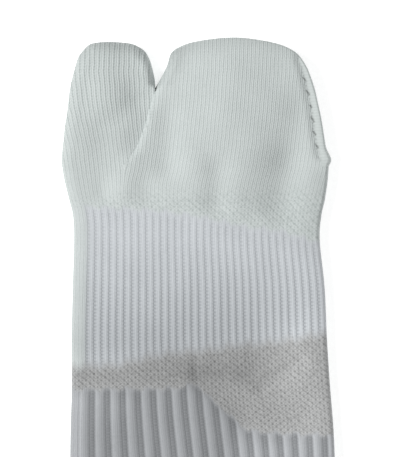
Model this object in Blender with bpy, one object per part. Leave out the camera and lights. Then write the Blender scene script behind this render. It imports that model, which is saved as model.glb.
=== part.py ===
"""Right-foot tabi sock in knitted cotton, laid flat with the instep up and the toes towards +Y.

Every piece is the same flattened knitted tube: a top layer and a bottom layer that meet in rounded
folds at the sides.  The toe end splits into a big-toe pouch and a four-toe pouch.  All tables are in
millimetres; s runs from the toe tips towards the leg and x from the inner side of the foot outwards.
"""
import math

import bmesh
import bpy
import numpy as np

MM = 0.001
SEAM_GAP = 0.3          # clear distance between neighbouring pieces
FOLD_ROUND = 5.0        # width over which a side fold rounds down to its edge
SPLINE_STEPS = 6        # points added between two rows of an outline
WELD = 0.000001         # metres; joins the points that two layers share at a fold

TOE_WALL = 2.8
FOOT_WALL = 2.3
LEG_WALL = 1.8
CUFF_WALL = 2.6
LEAST_ROOM = 0.25       # the two layers never come closer than this inside

TOE_BASE = 46.8         # s of the line where both toe pockets join the forefoot
CROTCH_X = -26.7        # x of the point between the two pockets on that line
ANKLE_LINE = 188.0      # s of the line where foot, heel pocket and leg meet
WELT_LINE = 262.0       # s where the leg ends and the cuff begins
LEG_TOP = 298.0         # s of the cuff's open edge

# Side folds of the foot tube:  s, inner edge x, outer edge x
FOOT_ROWS = (
    (46.8, -49.8, 48.2),
    (52.0, -48.9, 47.8),
    (59.0, -47.2, 46.8),
    (65.0, -45.8, 45.5),
    (74.0, -45.4, 44.9),
    (91.5, -45.9, 46.7),
    (109.0, -46.3, 47.5),
    (126.5, -46.2, 48.6),
    (144.0, -46.7, 50.0),
    (160.0, -46.9, 50.5),
    (176.0, -46.8, 49.8),
    (188.0, -46.2, 48.2),
    (200.0, -44.9, 46.2),
    (215.0, -43.3, 44.0),
    (240.0, -42.0, 42.4),
    (262.0, -41.6, 42.0),
    (298.0, -42.2, 42.6),
)

# Half of the flattened tube's height:  s, half height
HALF_ROWS = (
    (-1.0, 3.3),
    (12.0, 3.6),
    (30.0, 3.7),
    (46.8, 3.5),
    (62.0, 3.1),
    (110.0, 2.8),
    (150.0, 2.7),
    (170.0, 2.8),
    (180.0, 3.2),
    (188.0, 3.65),
)

# Leg and cuff stand on the folded heel pocket:  s, half height
LEG_HALF_ROWS = (
    (188.0, 2.2),
    (215.0, 2.3),
    (240.0, 2.5),
    (262.0, 2.6),
    (298.0, 2.6),
)
CUFF_HALF = 3.1

# Side edges of the big-toe pocket:  s, inner edge x, edge x beside the other toes
BIG_TOE_ROWS = (
    (46.8, -49.8, -26.9),
    (44.3, -49.9, -25.7),
    (40.2, -49.6, -21.6),
    (36.5, -49.2, -19.2),
    (32.5, -48.8, -17.4),
    (27.5, -48.0, -16.1),
    (23.5, -47.5, -15.7),
    (19.0, -47.0, -15.6),
    (14.6, -46.1, -15.8),
    (10.2, -44.9, -16.8),
    (7.0, -43.9, -17.9),
    (4.6, -42.3, -19.4),
)
# Its tip, from the inner corner to the other:  x, s
BIG_TOE_TIP = (
    (-40.0, 2.3),
    (-37.7, 1.5),
    (-33.3, 1.1),
    (-28.9, 1.3),
    (-24.5, 1.8),
    (-21.6, 3.0),
)

# Side edges of the four-toe pocket:  s, fold beside the big toe, seam on the outer side
FOUR_TOE_ROWS = (
    (46.8, -26.5, 45.2),
    (44.3, -25.3, 44.7),
    (40.2, -22.9, 43.6),
    (36.5, -21.5, 42.9),
    (32.5, -20.0, 42.4),
    (27.5, -18.6, 41.7),
    (23.5, -17.3, 41.1),
    (19.0, -15.1, 40.2),
    (14.6, -13.2, 39.1),
    (10.2, -11.3, 37.6),
    (6.4, -10.2, 35.9),
)
FOUR_TOE_TIP = (
    (-9.1, 4.6),
    (-7.0, 3.2),
    (-2.6, 1.5),
    (6.2, 0.0),
    (15.0, -0.4),
    (24.0, 0.7),
    (30.4, 2.2),
    (33.8, 3.8),
)

# The rolled selvedge on the outer side:  s, x of its centre, width, height
TOE_SEAM_ROWS = (
    (7.6, 37.7, 1.4, 3.0),
    (10.4, 39.2, 2.0, 4.0),
    (15.0, 40.8, 2.4, 4.8),
    (20.0, 42.1, 2.6, 5.0),
    (26.0, 43.5, 2.8, 5.0),
    (32.5, 44.6, 3.0, 5.0),
    (38.5, 45.6, 3.2, 5.0),
    (43.0, 46.8, 3.6, 5.2),
    (45.6, 47.6, 2.4, 3.8),
)
TOE_SEAM_SIDES = 12

# Lines where the knit changes across the tube:  x, s
RIB_END_LINE = (
    (-46.0, 120.4),
    (-26.0, 119.2),
    (-8.0, 115.8),
    (16.0, 112.8),
    (34.0, 110.6),
    (48.0, 108.3),
)
MESH_END_LINE = (
    (-46.0, 128.6),
    (-8.0, 128.0),
    (2.0, 129.8),
    (12.0, 138.2),
    (20.0, 143.4),
    (50.0, 145.4),
)

# Soft creases of the upper layer:  x1, s1, x2, s2, reach to each side, height (troughs below zero)
TOP_CREASES = (
    (-27.0, 13.0, -25.2, 27.5, 4.6, -1.1),
    (-37.2, 31.0, -36.2, 46.0, 5.0, -1.2),
    (-25.2, 45.6, -28.4, 52.0, 2.6, 0.7),
    (-28.4, 52.0, -29.6, 58.0, 2.8, 0.6),
    (-22.4, 48.6, -20.6, 58.0, 3.3, -1.2),
    (1.6, 52.5, 2.6, 60.0, 3.6, -0.7),
    (34.0, 35.0, 29.0, 59.0, 6.5, -1.6),
    (8.0, 20.0, 10.0, 38.0, 20.0, 1.1),
    (-12.0, 38.0, -9.0, 52.0, 4.5, -0.4),
    (37.0, 119.0, 24.0, 128.0, 3.2, -0.8),
    (-12.0, 128.0, 6.0, 124.0, 6.0, -0.4),
    (20.0, 100.0, 26.0, 128.0, 8.0, -0.7),
    (-30.0, 160.0, -4.0, 166.0, 6.0, -0.5),
    (10.0, 172.0, 38.0, 168.0, 6.0, 0.5),
    (-34.0, 196.0, 0.0, 201.0, 5.0, -0.6),
    (4.0, 206.0, 36.0, 200.0, 5.0, -0.6),
    (-24.0, 236.0, 20.0, 240.0, 7.0, -0.4),
)
# Soft creases of the lower layer, where it stands a little off the ground
BOTTOM_CREASES = (
    (-38.0, 22.0, -30.0, 34.0, 4.0, 0.4),
    (4.0, 20.0, 12.0, 40.0, 6.0, 0.4),
    (-20.0, 60.0, 24.0, 66.0, 5.0, 0.5),
    (-28.0, 104.0, 10.0, 98.0, 5.0, 0.4),
    (-10.0, 140.0, 30.0, 146.0, 5.0, 0.5),
    (-24.0, 252.0, 26.0, 256.0, 4.0, 0.4),
)

# Where the four-toe fold rides over the big toe's margin
LAP_START = (14.0, 20.0)    # s over which the lap builds up from the tips
LAP_END = (40.5, 46.0)      # s over which it dies away at the crotch
LAP_REACH = 9.0             # how far from the fold it is felt
LAP_RISE = 1.8              # the four-toe fold's middle goes up by this
LAP_THIN = 1.4              # and its half height shrinks by this
LAP_SQUASH = 1.8            # the big toe's margin is pressed down by this

# The half-moon heel pocket under the leg:  s, half width
HEEL_ROWS = (
    (188.3, 44.0),
    (196.0, 43.0),
    (206.0, 40.0),
    (216.0, 35.5),
    (226.0, 28.5),
    (233.0, 20.5),
    (237.5, 10.5),
)
HEEL_TIP = 239.0
HEEL_X = 1.0
HEEL_HEIGHT = 2.6
# Its edge shows the two folded layers:  inset from the outline, share of the height
HEEL_EDGE = (
    (1.5, 0.0),
    (0.35, 0.07),
    (0.0, 0.25),
    (0.25, 0.42),
    (0.9, 0.5),
    (0.25, 0.58),
    (0.0, 0.75),
    (0.35, 0.93),
    (1.5, 1.0),
)
HEEL_CLEAR = 3.5            # the leg stays raised this far past the heel pocket
HEEL_DRAPE = 13.0           # and by this distance has fallen to the ground

BASE_TO_TIP = 43.0          # length of a pocket's side, to turn the seam gap into a share of it
TOE_COLUMNS = 14
TOE_ROWS_UP = 13
FOOT_COLUMNS = 18

KNIT_WHITE = (0.62, 0.65, 0.64)
KNIT_RIB = (0.56, 0.60, 0.63)
KNIT_MESH = (0.50, 0.52, 0.52)
KNIT_SEAM = (0.66, 0.68, 0.67)


def smoothstep(low, high, value):
    """0 below low, 1 above high, and a soft S between them."""
    t = np.clip((value - low) / (high - low), 0.0, 1.0)
    return t * t * (3.0 - 2.0 * t)


def column(rows, index):
    """One column of a table as an array."""
    return np.array([row[index] for row in rows], float)


def along(rows, s, index):
    """A table's column at any s."""
    return np.interp(s, column(rows, 0), column(rows, index))


def spline(points):
    """A smooth line through the points of a table."""
    p = np.array(points, float)
    p = np.vstack([2 * p[0] - p[1], p, 2 * p[-1] - p[-2]])
    t = np.linspace(0.0, 1.0, SPLINE_STEPS, endpoint=False)[:, None]
    out = []
    for a, b, c, d in zip(p[:-3], p[1:-2], p[2:-1], p[3:]):
        out.append(
            0.5
            * (
                2 * b
                + (c - a) * t
                + (2 * a - 5 * b + 4 * c - d) * t**2
                + (3 * b - a - 3 * c + d) * t**3
            )
        )
    out.append(p[-2:-1])
    return np.vstack(out)


def resample(line, shares):
    """Points at the given shares of a line's length."""
    steps = np.linalg.norm(np.diff(line, axis=0), axis=1)
    length = np.concatenate([[0.0], np.cumsum(steps)])
    at = np.asarray(shares) * length[-1]
    return np.stack([np.interp(at, length, line[:, k]) for k in (0, 1)], axis=-1)


def plan(x, s):
    """A point of the plan, with y towards the toes."""
    return np.stack([np.asarray(x, float), -np.asarray(s, float)], axis=-1)


def side_lines(rows, tip):
    """The two sides and the tip of a pocket, each running away from its base or from left to right."""
    s = column(rows, 0)
    left = plan(column(rows, 1), s)
    right = plan(column(rows, 2), s)
    top = plan(column(tip, 0), column(tip, 1))
    outline = spline(np.vstack([left, top, right[::-1]]))
    a = (len(left) - 1) * SPLINE_STEPS
    b = (len(left) + len(top)) * SPLINE_STEPS
    return outline[: a + 1], outline[a : b + 1], outline[b:][::-1]


BIG_LEFT, BIG_TIP, BIG_RIGHT = side_lines(BIG_TOE_ROWS, BIG_TOE_TIP)
FOUR_LEFT, FOUR_TIP, FOUR_RIGHT = side_lines(FOUR_TOE_ROWS, FOUR_TOE_TIP)
FOOT_LEFT = spline(plan(column(FOOT_ROWS, 1), column(FOOT_ROWS, 0)))
FOOT_RIGHT = spline(plan(column(FOOT_ROWS, 2), column(FOOT_ROWS, 0)))
# Every edge is kept with the cloth on its right-hand side
EDGES = {
    "big_left": np.vstack([BIG_LEFT, BIG_TIP[1:]]),
    "big_right": BIG_RIGHT[::-1],
    "four_left": FOUR_LEFT,
    "four_right": np.vstack([FOUR_TIP, FOUR_RIGHT[::-1][1:]]),
    "foot_left": FOOT_LEFT[::-1],
    "foot_right": FOOT_RIGHT,
}


def nearest(points, line):
    """Distance of each point from a line, and the direction in which the cloth lies."""
    a, b = line[:-1], line[1:]
    ab = b - a
    span = (ab**2).sum(axis=1)
    t = ((points[:, None] - a) * ab).sum(axis=2) / span
    t = np.clip(t, 0.0, 1.0)
    foot = a + t[..., None] * ab
    away = points[:, None] - foot
    dist = np.linalg.norm(away, axis=2)
    k = dist.argmin(axis=1)
    rows = np.arange(len(points))
    d = dist[rows, k]
    inward = np.stack([ab[k, 1], -ab[k, 0]], axis=1)
    inward /= np.linalg.norm(inward, axis=1)[:, None]
    clear = d > 0.01
    inward[clear] = away[rows, k][clear] / d[clear][:, None]
    return d, inward


def nearest_of(points, names):
    """The same for the closest of several edges."""
    d, inward = nearest(points, EDGES[names[0]])
    for name in names[1:]:
        d2, inward2 = nearest(points, EDGES[name])
        closer = d2 < d
        d = np.where(closer, d2, d)
        inward[closer] = inward2[closer]
    return d, inward


def creases(points, table):
    """Height added by a table of soft troughs and ridges."""
    total = np.zeros(len(points))
    for x1, s1, x2, s2, reach, height in table:
        a = np.array([x1, -s1])
        ab = np.array([x2, -s2]) - a
        t = np.clip(((points - a) @ ab) / (ab @ ab), 0.0, 1.0)
        d = np.linalg.norm(points - a - t[:, None] * ab, axis=1)
        total += height * np.exp(-((d / reach) ** 2)) * (0.75 + 0.25 * np.cos(5.0 * t + x1))
    return total


def lap(points, edge):
    """How much the lap of the four-toe fold is felt near one of the two edges that it joins."""
    s = -points[:, 1]
    built = smoothstep(*LAP_START, s) * (1.0 - smoothstep(*LAP_END, s))
    d, _ = nearest(points, EDGES[edge])
    return built * (1.0 - smoothstep(0.0, LAP_REACH, d))


def heel_outline():
    """The half-moon heel pocket's outline, its straight side on the ankle line."""
    s = column(HEEL_ROWS, 0)
    w = column(HEEL_ROWS, 1)
    left = plan(HEEL_X - w, s)
    right = plan(HEEL_X + w, s)[::-1]
    tip = plan([HEEL_X], [HEEL_TIP])
    return spline(np.vstack([left, tip, right]))


HEEL_LINE = heel_outline()


def heel_lift(points):
    """How far the leg's layers are raised by the heel pocket folded beneath them."""
    s = -points[:, 1]
    d, _ = nearest(points, HEEL_LINE)
    width = along(HEEL_ROWS, s, 1)
    inside = (np.abs(points[:, 0] - HEEL_X) < width) & (s < HEEL_TIP)
    away = np.where(inside, 0.0, d)
    return (HEEL_HEIGHT + SEAM_GAP) * (1.0 - smoothstep(HEEL_CLEAR, HEEL_DRAPE, away))


def form(points, region):
    """Heights of the two layers at points of the plan: middle, half height, edge share, wall, inward."""
    s = -points[:, 1]
    lift = np.zeros(len(points))
    wall = np.full(len(points), FOOT_WALL)
    half = along(HALF_ROWS, s, 1)
    if region == "big_toe":
        d, inward = nearest_of(points, ("big_left", "big_right", "foot_left"))
        pressed = lap(points, "big_right")
        half = half - LAP_SQUASH * pressed
        wall[:] = TOE_WALL
    elif region == "four_toe":
        d, inward = nearest_of(points, ("four_left", "four_right", "foot_right"))
        raised = lap(points, "four_left")
        lift = (LAP_RISE + LAP_THIN) * raised
        half = half - LAP_THIN * raised
        wall[:] = TOE_WALL
    elif region == "foot":
        d, inward = nearest_of(points, ("foot_left", "foot_right"))
        notch_l, in_l = nearest(points, EDGES["big_right"])
        notch_r, in_r = nearest(points, EDGES["four_left"])
        on_left = points[:, 0] < CROTCH_X
        notch = np.where(on_left, notch_l, notch_r)
        half = half - (half - FOOT_WALL - LEAST_ROOM) * (1.0 - smoothstep(0.0, FOLD_ROUND, notch))
    else:
        d, inward = nearest_of(points, ("foot_left", "foot_right"))
        lift = heel_lift(points)
        half = along(LEG_HALF_ROWS, s, 1)
        wall[:] = LEG_WALL
        if region == "cuff":
            half[:] = CUFF_HALF
            wall[:] = CUFF_WALL
    share = np.clip(d / FOLD_ROUND, 0.0, 1.0)
    edge = np.sqrt(np.clip(1.0 - (1.0 - share) ** 2, 0.0, 1.0))
    middle = lift + half
    wall = np.minimum(wall, half - LEAST_ROOM)
    return middle, half, edge, wall, inward, share


def layers(points, region):
    """The four surfaces over a plan: outer top, outer bottom, inner top and inner bottom."""
    middle, half, edge, wall, inward, share = form(points, region)
    top_crease = creases(points, TOP_CREASES) * edge
    bottom_crease = creases(points, BOTTOM_CREASES) * edge
    inset = points + inward * (wall * (1.0 - share))[:, None]
    if region in ("big_toe", "four_toe"):
        inset[:, 1] = np.maximum(inset[:, 1], SEAM_GAP / 2.0 - TOE_BASE)
    room = (half - wall) * edge
    inner_bottom = middle - room + bottom_crease
    inner_top = np.maximum(middle + room + top_crease, inner_bottom + LEAST_ROOM * edge)
    return (
        np.column_stack([points, middle + half * edge + top_crease]),
        np.column_stack([points, middle - half * edge + bottom_crease]),
        np.column_stack([inset, inner_top]),
        np.column_stack([inset, inner_bottom]),
    )


def loops(grid, region):
    """Rings around the tube for every row of a plan grid: the outer ones and the inner ones."""
    rows, columns, _ = grid.shape
    top, bottom, inner_top, inner_bottom = (
        part.reshape(rows, columns, 3) for part in layers(grid.reshape(-1, 2), region)
    )
    outer = np.concatenate([top, bottom[:, -2:0:-1]], axis=1)
    inner = np.concatenate([inner_top, inner_bottom[:, -2:0:-1]], axis=1)
    return outer, inner


def even_ends(count):
    """Shares from 0 to 1 that crowd together at both ends."""
    k = np.arange(count + 1) / count
    return (1.0 - np.cos(math.pi * k)) / 2.0


def pocket_grid(left, tip, right):
    """A plan grid over a pocket, its first row on the base and its last along the tip."""
    u = even_ends(TOE_COLUMNS)[None, :, None]
    v = np.sin(np.linspace(0.0, 1.0, TOE_ROWS_UP + 1) * math.pi / 2.0)[:, None, None]
    start = SEAM_GAP / 2.0 / BASE_TO_TIP
    side_l = resample(left, start + (1.0 - start) * v.ravel())[:, None]
    side_r = resample(right, start + (1.0 - start) * v.ravel())[:, None]
    top = resample(tip, u.ravel())[None]
    base = side_l[0] + (side_r[0] - side_l[0]) * u
    corners = (
        (1 - u) * (1 - v) * side_l[0]
        + u * (1 - v) * side_r[0]
        + (1 - u) * v * tip[0]
        + u * v * tip[-1]
    )
    grid = (1 - u) * side_l + u * side_r + (1 - v) * base + v * top - corners
    grid[..., 1] = np.maximum(grid[..., 1], SEAM_GAP / 2.0 - TOE_BASE)
    return grid


def line_at(line, x):
    """s of a knit line at any x."""
    return np.interp(x, column(line, 0), column(line, 1))


def tube_grid(start, end, row_count):
    """A plan grid over a length of the foot tube; start and end are an s or a knit line."""
    u = even_ends(FOOT_COLUMNS)
    rough = -47.0 + 95.0 * u
    s0 = line_at(start, rough) if isinstance(start, tuple) else np.full(len(u), start)
    s1 = line_at(end, rough) if isinstance(end, tuple) else np.full(len(u), end)
    s0 = s0 + SEAM_GAP / 2.0
    s1 = s1 - SEAM_GAP / 2.0
    v = np.linspace(0.0, 1.0, row_count + 1)[:, None]
    s = s0 + (s1 - s0) * v
    left = np.interp(-s, FOOT_LEFT[::-1, 1], FOOT_LEFT[::-1, 0])
    right = np.interp(-s, FOOT_RIGHT[::-1, 1], FOOT_RIGHT[::-1, 0])
    return plan(left + u * (right - left), s)


def new_object(name, vertices, faces, color, roughness, collection):
    """A named closed mesh with its own material."""
    mesh = bpy.data.meshes.new(name)
    mesh.from_pydata([tuple(v * MM) for v in vertices], [], faces)
    bm = bmesh.new()
    bm.from_mesh(mesh)
    bmesh.ops.remove_doubles(bm, verts=bm.verts, dist=WELD)
    bmesh.ops.recalc_face_normals(bm, faces=bm.faces)
    bmesh.ops.triangulate(bm, faces=bm.faces)
    bm.to_mesh(mesh)
    bm.free()
    mesh.shade_smooth()
    material = bpy.data.materials.new(name)
    material.use_nodes = True
    shader = material.node_tree.nodes["Principled BSDF"]
    shader.inputs["Base Color"].default_value = (*color, 1.0)
    shader.inputs["Roughness"].default_value = roughness
    mesh.materials.append(material)
    thing = bpy.data.objects.new(name, mesh)
    collection.objects.link(thing)
    return thing


def ring_faces(first, second, size, flip):
    """Quads between two rings that start at these indices."""
    out = []
    for k in range(size):
        n = (k + 1) % size
        quad = (first + k, first + n, second + n, second + k)
        out.append(quad[::-1] if flip else quad)
    return out


def cloth(name, grid, region, closed_tip, color, collection):
    """A piece of flattened tube: both layers with their thickness, open at its ends or closed at a tip."""
    outer, inner = loops(grid, region)
    rows, size, _ = outer.shape
    vertices = np.concatenate([outer.reshape(-1, 3), inner.reshape(-1, 3)])
    shift = rows * size
    faces = []
    for row in range(rows - 1):
        faces += ring_faces(row * size, (row + 1) * size, size, False)
        faces += ring_faces(shift + row * size, shift + (row + 1) * size, size, True)
    faces += ring_faces(shift, 0, size, False)
    if not closed_tip:
        last = (rows - 1) * size
        faces += ring_faces(last, shift + last, size, False)
    return new_object(name, vertices, faces, color, 0.9, collection)


def ring_solid(name, rings, color, collection):
    """A solid lofted through closed rings and closed with flat ends."""
    count, size, _ = rings.shape
    faces = []
    for row in range(count - 1):
        faces += ring_faces(row * size, (row + 1) * size, size, False)
    faces.append(tuple(range(size))[::-1])
    faces.append(tuple((count - 1) * size + k for k in range(size)))
    return new_object(name, rings.reshape(-1, 3), faces, color, 0.9, collection)


def toe_seam_rings():
    """Rounded sections of the rolled selvedge, square to its path."""
    path = plan(column(TOE_SEAM_ROWS, 1), column(TOE_SEAM_ROWS, 0))
    ahead = np.gradient(path, axis=0)
    ahead /= np.linalg.norm(ahead, axis=1)[:, None]
    across = np.stack([-ahead[:, 1], ahead[:, 0]], axis=1)
    middle = along(HALF_ROWS, -path[:, 1], 1)
    turn = np.arange(TOE_SEAM_SIDES) * 2.0 * math.pi / TOE_SEAM_SIDES
    rings = []
    for k, (_, _, width, height) in enumerate(TOE_SEAM_ROWS):
        flat = path[k] + np.cos(turn)[:, None] * across[k] * width / 2.0
        rings.append(np.column_stack([flat, middle[k] + np.sin(turn) * height / 2.0]))
    return np.array(rings)


def heel_rings():
    """The heel pocket's outline at each height of its layered edge."""
    line = HEEL_LINE
    ahead = np.gradient(line, axis=0)
    ahead /= np.linalg.norm(ahead, axis=1)[:, None]
    inward = np.stack([-ahead[:, 1], ahead[:, 0]], axis=1)
    fade = smoothstep(ANKLE_LINE, ANKLE_LINE + 6.0, -line[:, 1])
    rings = []
    for inset, share in HEEL_EDGE:
        flat = line + inward * (inset * fade)[:, None]
        flat[:, 1] = np.minimum(flat[:, 1], -ANKLE_LINE - SEAM_GAP)
        rings.append(np.column_stack([flat, np.full(len(flat), HEEL_HEIGHT * share)]))
    return np.array(rings)


def centre(things):
    """Puts the middle of the laid sock over the origin, resting on the ground."""
    corners = np.array([v.co for thing in things for v in thing.data.vertices])
    low = corners.min(axis=0)
    high = corners.max(axis=0)
    move = np.array([(low[0] + high[0]) / 2.0, (low[1] + high[1]) / 2.0, low[2]])
    for thing in things:
        for vertex in thing.data.vertices:
            vertex.co = [a - b for a, b in zip(vertex.co, move)]
    print("moved by mm:", np.round(move / MM, 3), "size mm:", np.round((high - low) / MM, 2))


def main():
    for thing in list(bpy.data.objects):
        bpy.data.objects.remove(thing)
    sock = bpy.data.collections.new("tabi_sock")
    bpy.context.scene.collection.children.link(sock)
    big = pocket_grid(BIG_LEFT, BIG_TIP, BIG_RIGHT)
    four = pocket_grid(FOUR_LEFT, FOUR_TIP, FOUR_RIGHT)
    things = [
        cloth("big_toe_pocket", big, "big_toe", True, KNIT_WHITE, sock),
        cloth("four_toe_pocket", four, "four_toe", True, KNIT_WHITE, sock),
        ring_solid("toe_seam", toe_seam_rings(), KNIT_SEAM, sock),
        cloth("forefoot", tube_grid(TOE_BASE, RIB_END_LINE, 12), "foot", False, KNIT_RIB, sock),
        cloth("instep_mesh", tube_grid(RIB_END_LINE, MESH_END_LINE, 4), "foot", False, KNIT_MESH, sock),
        cloth("arch_band", tube_grid(MESH_END_LINE, ANKLE_LINE, 8), "foot", False, KNIT_RIB, sock),
        ring_solid("heel_pocket", heel_rings(), KNIT_WHITE, sock),
        cloth("leg", tube_grid(ANKLE_LINE, WELT_LINE, 10), "leg", False, KNIT_WHITE, sock),
        cloth("cuff", tube_grid(WELT_LINE, LEG_TOP, 3), "cuff", False, KNIT_WHITE, sock),
    ]
    centre(things)


main()
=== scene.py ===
import math

import bmesh
import bpy
import numpy as np
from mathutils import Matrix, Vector


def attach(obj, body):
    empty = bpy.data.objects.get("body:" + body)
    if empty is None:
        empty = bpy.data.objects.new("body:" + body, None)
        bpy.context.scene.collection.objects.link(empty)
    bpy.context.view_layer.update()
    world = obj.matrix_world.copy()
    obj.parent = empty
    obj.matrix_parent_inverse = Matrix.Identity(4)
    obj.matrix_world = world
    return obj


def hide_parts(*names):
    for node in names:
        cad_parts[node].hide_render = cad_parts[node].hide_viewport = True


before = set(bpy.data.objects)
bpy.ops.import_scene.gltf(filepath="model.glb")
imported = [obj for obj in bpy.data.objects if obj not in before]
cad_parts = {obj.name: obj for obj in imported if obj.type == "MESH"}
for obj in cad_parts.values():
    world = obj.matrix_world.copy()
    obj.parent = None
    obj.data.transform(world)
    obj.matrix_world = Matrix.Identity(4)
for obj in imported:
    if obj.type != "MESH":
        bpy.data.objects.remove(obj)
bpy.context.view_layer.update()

# One tabi sock laid flat. Sizes are in mm: x across the foot, s along it from the toe tips.
MM = 0.001
FRAME_X = 0.337         # from the tables' x and s to the row frame
FRAME_S = 148.733
SPLINE_STEPS = 8
TOE_BASE = 46.8
MEET_X = -26.7          # where the two pockets meet at their base
ANKLE_LINE = 188.0
WELT_LINE = 262.0
LEG_TOP = 298.0

FOLD_ROUND = 3.4        # how far in from its fold a tube rounds
FOLD_POWER = 0.64       # a half for a round fold, more for one pressed flat
INNER_FOLD = 0.72       # the inner side folds wider
OUTER_FOLD = 2.5        # the outer side folds tighter
SEAM_SHARP = 2.0        # and tighter by this along the rolled toe seam
SEAM_EASE = (34.0, 46.0)
BURIED = 6.0            # a fold inside the other pocket has no side wall: it counts as this far off

# The outline laid flat:  s, inner fold, outer fold
FOOT_ROWS = (
    (46.8, -49.8, 48.2),
    (52.0, -48.9, 47.8),
    (59.0, -47.2, 46.8),
    (65.0, -45.8, 45.5),
    (74.0, -45.4, 44.9),
    (91.5, -45.9, 46.7),
    (109.0, -46.3, 47.5),
    (126.5, -46.2, 48.6),
    (144.0, -46.7, 50.0),
    (160.0, -46.9, 50.5),
    (176.0, -46.8, 49.8),
    (188.0, -46.2, 48.2),
    (200.0, -44.9, 46.2),
    (215.0, -43.3, 44.0),
    (240.0, -42.0, 42.4),
    (262.0, -41.6, 42.0),
    (298.0, -42.2, 42.6),
)
# Half the height of the flattened tube:  s, half
HALF_ROWS = (
    (-1.0, 3.3),
    (12.0, 3.6),
    (30.0, 3.7),
    (46.8, 3.5),
    (62.0, 3.1),
    (110.0, 2.8),
    (150.0, 2.7),
    (170.0, 2.8),
    (180.0, 3.2),
    (188.0, 3.65),
)
LEG_HALF_ROWS = (
    (188.0, 2.2),
    (215.0, 2.3),
    (240.0, 2.5),
    (262.0, 2.6),
    (298.0, 2.6),
)
CUFF_HALF = 3.1
# s, outline on the inner side, fold beside the four-toe pocket
BIG_TOE_ROWS = (
    (46.8, -49.8, -24.4),
    (44.3, -49.9, -22.8),
    (40.2, -49.6, -20.4),
    (36.5, -49.2, -18.8),
    (32.5, -48.8, -17.4),
    (27.5, -48.0, -16.1),
    (23.5, -47.5, -15.7),
    (19.0, -47.0, -15.6),
    (14.6, -46.1, -15.8),
    (10.2, -44.9, -16.8),
    (7.0, -43.9, -17.9),
    (4.6, -42.3, -19.4),
)
# x, s along the tip
BIG_TOE_TIP = (
    (-40.0, 2.3),
    (-37.7, 1.5),
    (-33.3, 1.1),
    (-28.9, 1.3),
    (-24.5, 1.8),
    (-21.6, 3.0),
)
# s, fold beside the big toe, outline on the outer side
FOUR_TOE_ROWS = (
    (46.8, -26.7, 48.2),
    (44.3, -25.3, 49.1),
    (40.2, -22.9, 47.3),
    (36.5, -21.5, 46.6),
    (32.5, -20.0, 46.0),
    (27.5, -18.6, 45.1),
    (23.5, -17.3, 44.2),
    (19.0, -15.9, 43.2),
    (14.6, -13.5, 41.8),
    (10.2, -11.3, 40.0),
    (6.4, -10.2, 37.5),
)
FOUR_TOE_TIP = (
    (-9.1, 4.6),
    (-7.0, 3.2),
    (-2.6, 1.5),
    (6.2, 0.0),
    (15.0, -0.4),
    (24.0, 0.7),
    (30.4, 2.2),
    (34.8, 4.2),
)
# The toe-closing seam:  s, x
SEAM_ROWS = (
    (46.8, 45.5),
    (44.8, 44.9),
    (43.0, 44.4),
    (39.9, 43.7),
    (34.8, 42.7),
    (30.0, 42.1),
    (24.9, 41.4),
    (19.6, 40.3),
    (13.9, 38.8),
    (8.8, 37.3),
    (6.4, 36.9),
)
# Where one stitch pattern gives way to the next over the instep:  x, s
PLAIN_END_LINE = (
    (-46.0, 60.5),
    (-36.0, 59.8),
    (-26.0, 58.2),
    (-8.0, 57.2),
    (16.0, 57.0),
    (36.0, 56.4),
    (50.0, 56.0),
)
RIB_START_LINE = (
    (-46.0, 61.0),
    (-39.0, 61.5),
    (-17.0, 62.6),
    (-2.6, 64.4),
    (8.4, 66.6),
    (18.7, 68.8),
    (31.5, 70.3),
    (36.6, 72.1),
    (46.0, 74.8),
)
RIB_END_LINE = (
    (-46.0, 120.6),
    (-30.0, 120.3),
    (-26.0, 119.2),
    (-17.0, 117.0),
    (-8.0, 115.6),
    (6.0, 114.4),
    (16.0, 112.7),
    (26.0, 112.0),
    (38.0, 110.0),
    (47.0, 108.2),
)
MESH_END_LINE = (
    (-46.0, 128.6),
    (-8.0, 128.2),
    (-2.6, 127.0),
    (0.4, 127.0),
    (2.6, 129.9),
    (6.2, 133.2),
    (12.0, 138.3),
    (18.0, 143.4),
    (24.0, 144.4),
    (50.0, 145.4),
)
ARCH_END = 182.0        # of the wide ribs

# Soft ridges and, below nought, troughs:  x1, s1, x2, s2, reach, height
TOP_CREASES = (
    (-34.0, 6.0, -33.4, 24.0, 8.5, 1.5),
    (-23.2, 19.0, -23.0, 24.0, 4.0, -0.7),
    (-36.0, 34.0, -35.0, 46.0, 5.0, -0.35),
    (-35.0, 33.0, -23.0, 24.0, 4.5, -0.5),
    (-24.0, 44.6, -27.0, 57.0, 4.2, 0.6),
    (-34.6, 53.0, -34.8, 57.5, 3.5, -0.6),
    (-19.0, 53.0, -18.5, 58.0, 4.0, -0.5),
    (-10.6, 29.0, -10.6, 47.0, 4.6, -0.8),
    (-1.4, 40.0, -0.8, 57.0, 6.2, 0.7),
    (7.2, 49.0, 6.8, 60.0, 5.0, -1.1),
    (36.5, 27.0, 33.5, 43.0, 7.0, -1.1),
    (33.0, 47.0, 30.5, 60.0, 8.2, -2.6),
    (11.0, 14.0, 14.0, 40.0, 20.0, 3.0),
    (37.0, 119.0, 24.0, 128.0, 3.2, -0.9),
    (-0.6, 117.5, -0.4, 127.0, 1.8, -0.45),
    (-12.0, 128.0, 6.0, 124.0, 6.0, -0.4),
    (18.0, 96.0, 22.0, 120.0, 9.0, -0.5),
    (-30.0, 160.0, -4.0, 166.0, 6.0, -0.5),
    (10.0, 172.0, 38.0, 168.0, 6.0, 0.5),
    (-34.0, 196.0, 0.0, 201.0, 5.0, -0.6),
    (4.0, 206.0, 36.0, 200.0, 5.0, -0.6),
    (-24.0, 236.0, 20.0, 240.0, 7.0, -0.4),
)
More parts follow.
